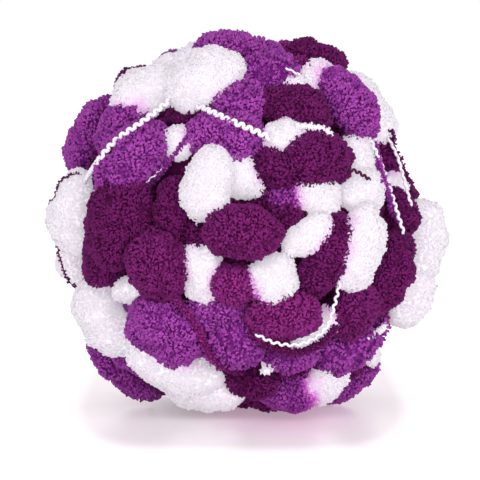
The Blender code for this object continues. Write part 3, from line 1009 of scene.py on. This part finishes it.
def copy_bobble(plain, bobble, number):
    """A copy of the plain bobble at its place and size, bent round the ball, a little uneven,
    fuller at one end than the other, and pressed flat where it meets the table."""
    long, wide = bobble["size"]
    thick = bobble["thick"]
    deep = dict(zip(PILE_COLUMNS, PILES[kind_of(bobble)]))["backing_deep"] * MM
    bend = long * long / (8 * BALL_TALL / 2)
    name = f"bobble_{number}"
    mesh = plain.data.copy()
    mesh.name = name
    dye = mesh.attributes.new("dye", "FLOAT", "POINT")
    shade = mesh.attributes.new("shade", "FLOAT", "POINT")
    round_out = mesh.attributes.new("round_out", "FLOAT_VECTOR", "POINT")
    listed = bobble.get("listed", {"across": None, "up": None})
    pleats = PLEATED.get((listed["across"], listed["up"]), 0)
    near_dye, far_dye, turn = bobble["dyes"]
    frame_of = bobble["frame"]
    fuller_end = (spread(number, 31) - 0.5) * 0.24
    lighter = (spread(number, 32) - 0.5) * BOBBLE_SHADES
    for vert in mesh.vertices:
        lengthwise = vert.co.z
        across = math.hypot(vert.co.x, vert.co.y)
        ragged = 0.16 * noise.noise(Vector((vert.co.x * 2.2, vert.co.y * 2.2, lengthwise * 4 + near_dye)))
        share = 1 / (1 + math.exp(-(lengthwise - turn + ragged) * 15))
        dye.data[vert.index].value = near_dye + (far_dye - near_dye) * share
        round_out.data[vert.index].vector = (vert.co.x, lengthwise, pleats if vert.co.y > 0 else 0)
        full = 1 + fuller_end * lengthwise
        place = Vector((
            vert.co.x * full * (wide / 2 - deep),
            vert.co.y * full * (thick / 2 - deep) - bend * lengthwise**2,
            lengthwise * (long / 2 - deep),
        ))
        way = Vector((vert.co.x, vert.co.y, lengthwise * across + 0.001 * lengthwise)).normalized()
        point = frame_of @ place
        swell = 2.4 * noise.noise(point / (15 * MM)) + 1.2 * noise.noise(point / (7 * MM))
        parting = 3.0 * (abs(noise.noise(point / (11 * MM) + Vector((number, 0, 0)))) - 0.22)
        # Shade: random lighter or darker for each bobble and in patches, with painted shade in the grooves
        # where the bobble parts and a little painted light on the raised places
        shade.data[vert.index].value = lighter + 0.05 * min(parting, 0.6) + 0.1 * noise.noise(point / (13 * MM))
        point = point + (frame_of.to_3x3() @ way) * (swell + parting) * MM
        point.z = max(point.z, 0.6 * MM)
        vert.co = point
    made = bpy.data.objects.new(name, mesh)
    bpy.context.scene.collection.objects.link(made)
    return made


def note_what_shows(item, bobble, others):
    """Marks which points of a bobble can be seen, so that pile grows only there, and tints a
    white one a little along the dye range where it lies against a dyed one."""
    shows = item.data.attributes.new("shows", "FLOAT", "POINT")
    dye = item.data.attributes["dye"]
    near = []
    for other in others:
        if other is not bobble and (other["middle"] - bobble["middle"]).length < 62 * MM:
            near.append((other["inside"], other["dyes"][0]))
    for vert in item.data.vertices:
        seen = 1.0
        if vert.co.z < 1.0 * MM:
            seen = 0.0
        from_heart = vert.co - BALL_MIDDLE
        if math.hypot(from_heart.x / (HEART_WIDE / 2), from_heart.y / (HEART_WIDE * DEPTH_SHARE / 2),
                      from_heart.z / (HEART_TALL / 2)) < 0.96:
            seen = 0.0
        bleed = 0.0
        for inside, dyed in near:
            apart = (inside @ vert.co).length
            if apart < 0.86:
                seen = 0.0
            if dyed > WHITE and apart < BLEED_REACH:
                wander = 0.5 + 0.9 * noise.noise(vert.co / (9 * MM))
                bleed = max(bleed, BLEED_DYE * wander * (BLEED_REACH - apart) / (BLEED_REACH - 1))
        if bobble["dyes"][0] == WHITE:
            dye.data[vert.index].value += min(bleed, BLEED_DYE)
        shows.data[vert.index].value = seen


def join_all(items, name):
    """Joins several objects into one piece."""
    bpy.ops.object.select_all(action="DESELECT")
    for item in items:
        item.select_set(True)
    bpy.context.view_layer.objects.active = items[0]
    if len(items) > 1:
        bpy.ops.object.join()
    items[0].name = name
    return items[0]


def model_bobbles(bobbles, tufts, materials):
    """All the bobbles with their pile, as one piece for each dye in each quarter of the ball."""
    plain = model_plain_bobble()
    groups = {}
    for number, bobble in enumerate(bobbles):
        kind = kind_of(bobble)
        depth = "front" if bobble["middle"].y < BALL_MIDDLE.y else "back"
        hand = "left" if bobble["middle"].x < BALL_MIDDLE.x else "right"
        made = copy_bobble(plain, bobble, number)
        note_what_shows(made, bobble, bobbles)
        groups.setdefault((kind, depth, hand), []).append(made)
    bpy.data.objects.remove(plain, do_unlink=True)
    pieces = []
    for (kind, depth, hand), items in sorted(groups.items()):
        piece = join_all(items, f"{kind}_bobbles_{depth}_{hand}")
        piece.data.name = piece.name
        pile = piece.modifiers.new("cut_pile", "NODES")
        pile.node_group = cut_pile(tufts, materials[kind], kind)
        apply_modifiers(piece)
        pieces.append((piece, kind))
    return pieces


def smooth_route(points, rounds=3):
    """Points along a soft curve through the given ones."""
    for _ in range(rounds):
        finer = [points[0]]
        for first, second in zip(points, points[1:]):
            finer.append(first.lerp(second, 0.25))
            finer.append(first.lerp(second, 0.75))
        finer.append(points[-1])
        points = finer
    return points


def evenly(points, step):
    """The same route with points an even step apart."""
    even = [points[0]]
    left = step
    for first, second in zip(points, points[1:]):
        length = (second - first).length
        done = 0.0
        while length - done >= left:
            done += left
            even.append(first.lerp(second, done / length))
            left = step
        left -= length - done
    if (points[-1] - even[-1]).length > step * 0.5:
        even.append(points[-1])
    return even


def thread_route(surface, side, places, sink):
    """A thread's middle line, lying on the bobbles and straight across the hollows."""
    flat = smooth_route([Vector((across, up, 0)) for across, up in places])
    flat = evenly(flat, 4.0)
    eye, _, _ = eye_frame(side)
    reaches = []
    ways = []
    for place in flat:
        inward = (Vector((0, 95, 0)) - place).normalized()
        for step in range(16):
            _, way = sight_line(side, place.x + inward.x * step, place.y + inward.y * step)
            hit, _, _, reach = surface.ray_cast(eye, way)
            if hit:
                break
        ways.append(way)
        reaches.append(reach if hit else None)
    known = [reach for reach in reaches if reach is not None]
    reaches = [reach if reach is not None else max(known) for reach in reaches]
    taut = []
    for index in range(len(reaches)):
        lowest = reaches[index]
        for first in range(index):
            for last in range(index + 1, len(reaches)):
                share = (index - first) / (last - first)
                lowest = min(lowest, reaches[first] + (reaches[last] - reaches[first]) * share)
        taut.append(lowest)
    return [eye + way * (reach + sink) for way, reach in zip(ways, taut)]


def round_tube(name, points, thick, sides=2, swells=()):
    """A tube of this thickness along points, as a closed mesh, thicker where it swells."""
    curve = bpy.data.curves.new(name, "CURVE")
    curve.dimensions = "3D"
    curve.bevel_depth = thick / 2
    curve.bevel_resolution = sides
    curve.use_fill_caps = True
    spline = curve.splines.new("POLY")
    spline.points.add(len(points) - 1)
    for spot, point in zip(spline.points, points):
        spot.co = (*point, 1)
    for spot, swell in zip(spline.points, swells):
        spot.radius = swell
    item = bpy.data.objects.new(name, curve)
    bpy.context.scene.collection.objects.link(item)
    only_select(item)
    bpy.ops.object.convert(target="MESH")
    bpy.ops.object.mode_set(mode="EDIT")
    bpy.ops.mesh.select_all(action="SELECT")
    bpy.ops.mesh.remove_doubles(threshold=0.00001)
    bpy.ops.mesh.normals_make_consistent(inside=False)
    bpy.ops.object.mode_set(mode="OBJECT")
    item.data.materials.clear()
    item.data.shade_smooth()
    return item


def crimped_thread(name, route, thick, wave, material):
    """A thread drawn tight along its route, waved from side to side where it is crimped."""
    even = evenly(smooth_route(route, 2), CRIMP_LONG / 10)
    points = []
    for index, point in enumerate(even):
        ahead = (even[min(index + 1, len(even) - 1)] - even[max(index - 1, 0)]).normalized()
        sideways = ahead.cross(outward(point)).normalized()
        turn = index / 10 * 2 * math.pi
        bunched = -CRIMP_STEEP * CRIMP_LONG * math.sin(2 * turn)
        points.append(point + sideways * wave * math.sin(turn) + ahead * bunched * wave / MM)
    item = round_tube(name, points, thick)
    item.data.materials.append(material)
    return item


def model_strands(surface, tufts, materials):
    """The thin runs of chenille that show between the bobbles."""
    made = []
    for number, row in enumerate(STRANDS, 1):
        strand = dict(zip(STRAND_COLUMNS, row))
        kind = {WHITE: "white", PURPLE: "purple"}.get(strand["dye"], "plum")
        route = thread_route(surface, strand["side"], strand["places"], 0.3 * MM)
        thick = (strand["thick"] - 2.6) * MM
        even = evenly(smooth_route(route, 1), BEAD_LONG / 4)
        beads = [1 + BEAD_SWELL * math.sin(index * math.pi / 2) for index in range(len(even))]
        item = round_tube(f"strand_{number}", even, thick, 1, beads)
        for name, value in (("dye", strand["dye"]), ("shows", 1.0), ("shade", 0.0)):
            noted = item.data.attributes.new(name, "FLOAT", "POINT")
            noted.data.foreach_set("value", [value] * len(item.data.vertices))
        shade = item.data.attributes["shade"]
        # Painted light on the swells of the beads and painted shade in the dips between them
        for vert in item.data.vertices:
            nearest = min(range(len(even)), key=lambda index: (even[index] - vert.co).length_squared)
            shade.data[vert.index].value = BEAD_PAINTED_SHADE * (beads[nearest] - 1) / BEAD_SWELL
        pile = item.modifiers.new("cut_pile", "NODES")
        pile.node_group = cut_pile(tufts, materials[kind], "strand")
        apply_modifiers(item)
        made.append((item, kind))
    return made


def surface_of(pieces):
    """What a thread can lie on: all the given pieces as one surface."""
    both = bmesh.new()
    for piece in pieces:
        both.from_mesh(piece.data)
    surface = BVHTree.FromBMesh(both)
    both.free()
    return surface


def model_threads(surface, materials):
    """The bare lengths of crimped thread."""
    made = []
    for number, row in enumerate(THREADS, 1):
        thread = dict(zip(THREAD_COLUMNS, row))
        kind = {WHITE: "white", PURPLE: "purple", PLUM: "plum"}[thread["dye"]]
        route = thread_route(surface, thread["side"], thread["places"], -thread["thick"] * MM / 2)
        thick = thread["thick"] * MM
        item = crimped_thread(f"thread_{number}", route, thick, thread["wave"] * MM, materials[kind])
        made.append((item, "binding_thread"))
    return made


def model_heart(tufts, material):
    """The inner turns that show in the deepest gaps, as a lumpy mass with sparse plum pile,
    painted darker as shade in those gaps.
    """
    parts = []
    masses = (
        (HEART_WIDE, HEART_TALL, HEART_ASIDE, BALL_MIDDLE.z),
        (HEART_BASE_WIDE, HEART_BASE_TALL, 0, HEART_BASE_TALL / 2 + 2 * MM),
    )
    for wide, tall, aside, rise in masses:
        bpy.ops.object.select_all(action="DESELECT")
        bpy.ops.mesh.primitive_ico_sphere_add(subdivisions=5, radius=1.0, location=(0, 0, 0))
        mass = bpy.context.object
        for vert in mass.data.vertices:
            lumps = 1 + 0.025 * noise.noise(vert.co * 9)
            vert.co = Vector((
                BALL_MIDDLE.x + aside + vert.co.x * lumps * wide / 2,
                BALL_MIDDLE.y + vert.co.y * lumps * wide / 2 * DEPTH_SHARE,
                max(1.5 * MM, rise + vert.co.z * lumps * tall / 2),
            ))
        # Plum, with a shade of -0.3 as painted shade in the deepest gaps
        for name, value in (("dye", PLUM), ("shows", 1.0), ("shade", -0.3)):
            noted = mass.data.attributes.new(name, "FLOAT", "POINT")
            noted.data.foreach_set("value", [value] * len(mass.data.vertices))
        mass.data.shade_smooth()
        parts.append(mass)
    heart = join_all(parts, "inner_turns")
    pile = heart.modifiers.new("cut_pile", "NODES")
    pile.node_group = cut_pile(tufts, material, "inner")
    apply_modifiers(heart)
    return heart


# Parts of the floor from the ball outwards: the painted shadow under the ball, the painted
# reflection of the ball close by, and the plain floor that gives way to the painted glow beyond.
# For each, the spot that it spreads from, how far it reaches each way, how square it is, and
# where, as a share of that, it starts and ends to give way to the next
FLOOR_PARTS = (
    ("under", (0.008, 0.045, 0), (0.048, 0.045, 1), 2.0, 0.85, 1.1),
    ("painted_reflection", (0.018, -0.02, 0), (0.046, 0.085, 1), 2.0, 0.3, 1.15),
    ("plain", (-0.002, 0.06, 0), (0.09, 0.187, 1), 4.0, 0.84, 1.06),
)
# The colour and the glow of each part: painted shadow under the ball, painted mauve reflection of the ball,
# plain floor, and painted glow beyond
FLOOR_COLOURS = {
    "Base Color": {"under": "#a898a4", "painted_reflection": "#d4c4ce", "plain": "#ccc6c9", "lit": "#ece8ea"},
    "Emission Color": {"under": "#4c303e", "painted_reflection": "#cbacbf", "plain": "#b8b0b4", "lit": "#ece8ea"},
}


def light_area(name, place, size, power, colour="#ffffff"):
    """A soft box that faces the middle of the ball."""
    lamp = bpy.data.lights.new(name, "AREA")
    lamp.shape = "RECTANGLE"
    lamp.size = size[0]
    lamp.size_y = size[1]
    lamp.energy = power
    lamp.color = linear(colour)[:3]
    item = bpy.data.objects.new(name, lamp)
    item.location = place
    item.rotation_euler = (BALL_MIDDLE - Vector(place)).to_track_quat("-Z", "Y").to_euler()
    bpy.context.scene.collection.objects.link(item)


def away_from(tree, place, spot, reach, power=2.0):
    """How far a point of the floor is from a spot, where 1 is the reach given for each way. A
    higher power gives a squarer outline."""
    apart = add_node(tree, "ShaderNodeVectorMath", {0: place, 1: spot}, operation="SUBTRACT")
    shares = add_node(tree, "ShaderNodeVectorMath", {0: apart.outputs[0], 1: reach}, operation="DIVIDE")
    sized = add_node(tree, "ShaderNodeVectorMath", {0: shares.outputs[0]}, operation="ABSOLUTE")
    parts = add_node(tree, "ShaderNodeSeparateXYZ", {0: sized.outputs[0]})
    along = add_node(tree, "ShaderNodeMath", {0: parts.outputs[0], 1: power}, operation="POWER")
    deep = add_node(tree, "ShaderNodeMath", {0: parts.outputs[1], 1: power}, operation="POWER")
    both = add_node(tree, "ShaderNodeMath", {0: along.outputs[0], 1: deep.outputs[0]}, operation="ADD")
    return add_node(tree, "ShaderNodeMath", {0: both.outputs[0], 1: 1 / power}, operation="POWER").outputs[0]


def white_acrylic():
    """White acrylic sheet, cast with a glossy face that mirrors the ball softly. Away from the ball
    it glows with painted light, so that it runs into the white behind. Close by it carries a
    painted mauve reflection of the ball, and under the ball a painted shadow, in its colour and
    its glow."""
    material = bpy.data.materials.new("white_acrylic_sheet")
    material.use_nodes = True
    tree = material.node_tree
    shader = tree.nodes["Principled BSDF"]
    place = add_node(tree, "ShaderNodeTexCoord").outputs["Object"]
    shares = {}
    for name, spot, reach, power, least, most in FLOOR_PARTS:
        away = away_from(tree, place, spot, reach, power)
        shares[name] = add_node(
            tree,
            "ShaderNodeMapRange",
            {"Value": away, "From Min": least, "From Max": most},
            interpolation_type="SMOOTHSTEP",
        ).outputs["Result"]
    for socket, colours in FLOOR_COLOURS.items():
        mixed = linear(colours["under"])
        for name in ("under", "painted_reflection", "plain"):
            following = {"under": "painted_reflection", "painted_reflection": "plain", "plain": "lit"}[name]
            mixed = add_node(
                tree,
                "ShaderNodeMix",
                {0: shares[name], 6: mixed, 7: linear(colours[following])},
                data_type="RGBA",
            ).outputs[2]
        tree.links.new(mixed, shader.inputs[socket])
    # The floor's painted glow, painted shadow and painted reflection shine at this strength
    shader.inputs["Emission Strength"].default_value = 0.65
    shader.inputs["Roughness"].default_value = 0.3
    shader.inputs["IOR"].default_value = 1.49
    shader.inputs["Specular IOR Level"].default_value = 0.35
    return material


def set_scene():
    """A plain pale glossy floor, soft studio light and the camera."""
    scene = bpy.context.scene
    bpy.ops.object.select_all(action="DESELECT")
    bpy.ops.mesh.primitive_plane_add(size=6, location=(0, 0, 0))
    floor = bpy.context.object
    floor.name = "floor"
    floor.data.materials.append(white_acrylic())

    world = bpy.data.worlds.new("studio")
    scene.world = world
    world.use_nodes = True
    back = world.node_tree.nodes["Background"]
    back.inputs["Color"].default_value = (1, 1, 1, 1)
    # the paper behind is lit to white, while the room round it sends back less light
    seen = add_node(world.node_tree, "ShaderNodeLightPath")
    strength = add_node(
        world.node_tree,
        "ShaderNodeMapRange",
        {"Value": seen.outputs["Is Camera Ray"], "To Min": 0.95, "To Max": 1.0},
    )
    world.node_tree.links.new(strength.outputs["Result"], back.inputs["Strength"])
    light_area("key_light", (-0.7, -1.2, 1.0), (0.8, 0.8), 5.5)
    light_area("side_light", (0.9, -1.2, 0.5), (0.9, 0.9), 7.5)
    light_area("low_light", (0.1, -1.5, 0.15), (1.0, 0.3), 5)
    light_area("top_light", (0.0, 0.2, 1.6), (1.2, 1.2), 1)

    camera = bpy.data.cameras.new("camera")
    stand = bpy.data.objects.new("camera", camera)
    scene.collection.objects.link(stand)
    stand.location = eye_frame("front")[0]
    stand.rotation_euler = (math.radians(90 - EYE_RISE_DEG), 0, 0)
    # the picture is 480 pixels wide and half a millimetre a pixel at the ball
    field = 480 * 0.5 * MM
    camera.sensor_width = 36
    camera.lens = 36 * EYE_DISTANCE / field
    camera.shift_x = -3 * MM / field
    camera.shift_y = (86 * MM - EYE_MIDDLE_UP) / field
    camera.clip_start = 0.01
    scene.camera = stand
    scene.view_settings.view_transform = "Standard"


def dress_ball():
    """Builds every piece of the ball and fixes it to the solid."""
    shelf = bpy.data.collections.new("tufts")
    bpy.context.scene.collection.children.link(shelf)
    for number in range(1, TUFT_KINDS + 1):
        tuft = model_tuft(number)
        for holder in list(tuft.users_collection):
            holder.objects.unlink(tuft)
        shelf.objects.link(tuft)
    piles = {
        "purple": chenille_pile("purple_chenille_pile", 0.12, "#e070e8", 0.5, 0.3),
        "plum": chenille_pile("plum_chenille_pile", 0.08, "#c850b0", 0.38, 0.3),
        "white": chenille_pile("white_chenille_pile", 0.1, "#ffffff", 0.03, 0.03),
    }
    cords = {
        "purple": binding_thread("purple_binding_thread", "#6a2874", "#42124e"),
        "plum": binding_thread("plum_binding_thread", "#4e1040", "#2c0624"),
        "white": binding_thread("white_binding_thread", "#e6e0ea", "#bcb4c2"),
    }
    front = front_bobbles()
    bobbles = front + fill_bobbles(front)
    pieces = model_bobbles(bobbles, shelf, piles)
    surface = surface_of([piece for piece, _ in pieces])
    pieces.append((model_heart(shelf, piles["plum"]), "plum"))
    pieces += model_strands(surface, shelf, piles)
    for tuft in list(shelf.objects):
        bpy.data.objects.remove(tuft, do_unlink=True)
    bpy.data.collections.remove(shelf)
    for piece, kind in pieces + model_threads(surface, cords):
        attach(piece, "root")
        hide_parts("yarn_ball")


dress_ball()
set_scene()
